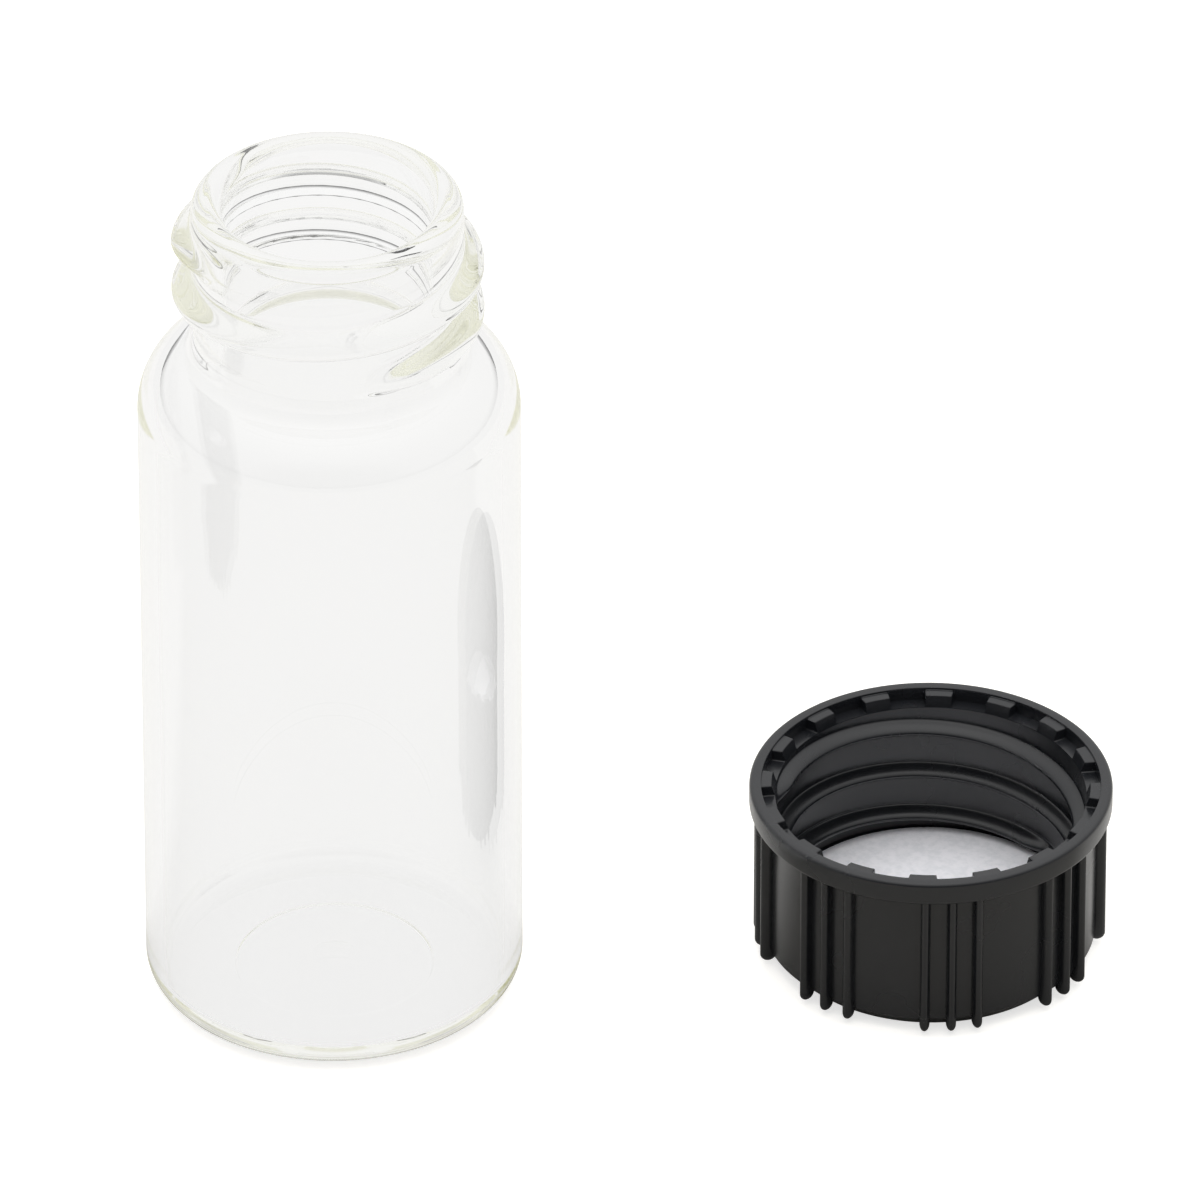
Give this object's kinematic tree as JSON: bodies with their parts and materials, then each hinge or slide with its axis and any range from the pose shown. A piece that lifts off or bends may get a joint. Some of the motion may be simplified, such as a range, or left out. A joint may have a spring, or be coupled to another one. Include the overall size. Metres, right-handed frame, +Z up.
{
  "type": "glass sample vial",
  "caption": "Clear glass screw-neck sample vial standing beside its ribbed black screw cap, which lies open side up with a white sealing liner inside.",
  "frame": {"origin": "centre of the vial's flat underside, on the surface it stands on", "axes": "+Z up along the vial's axis towards its mouth, +X towards the cap lying beside it"},
  "size_m": [0.0564, 0.0244, 0.053],
  "materials": {
    "clear_glass": "clear, fire-polished",
    "black_plastic": "satin moulding",
    "white_liner": "matte, finely grained"
  },
  "bodies": {
    "root": {"vial": "clear_glass", "cap": "black_plastic", "liner": "white_liner"}
  },
  "joints": []
}
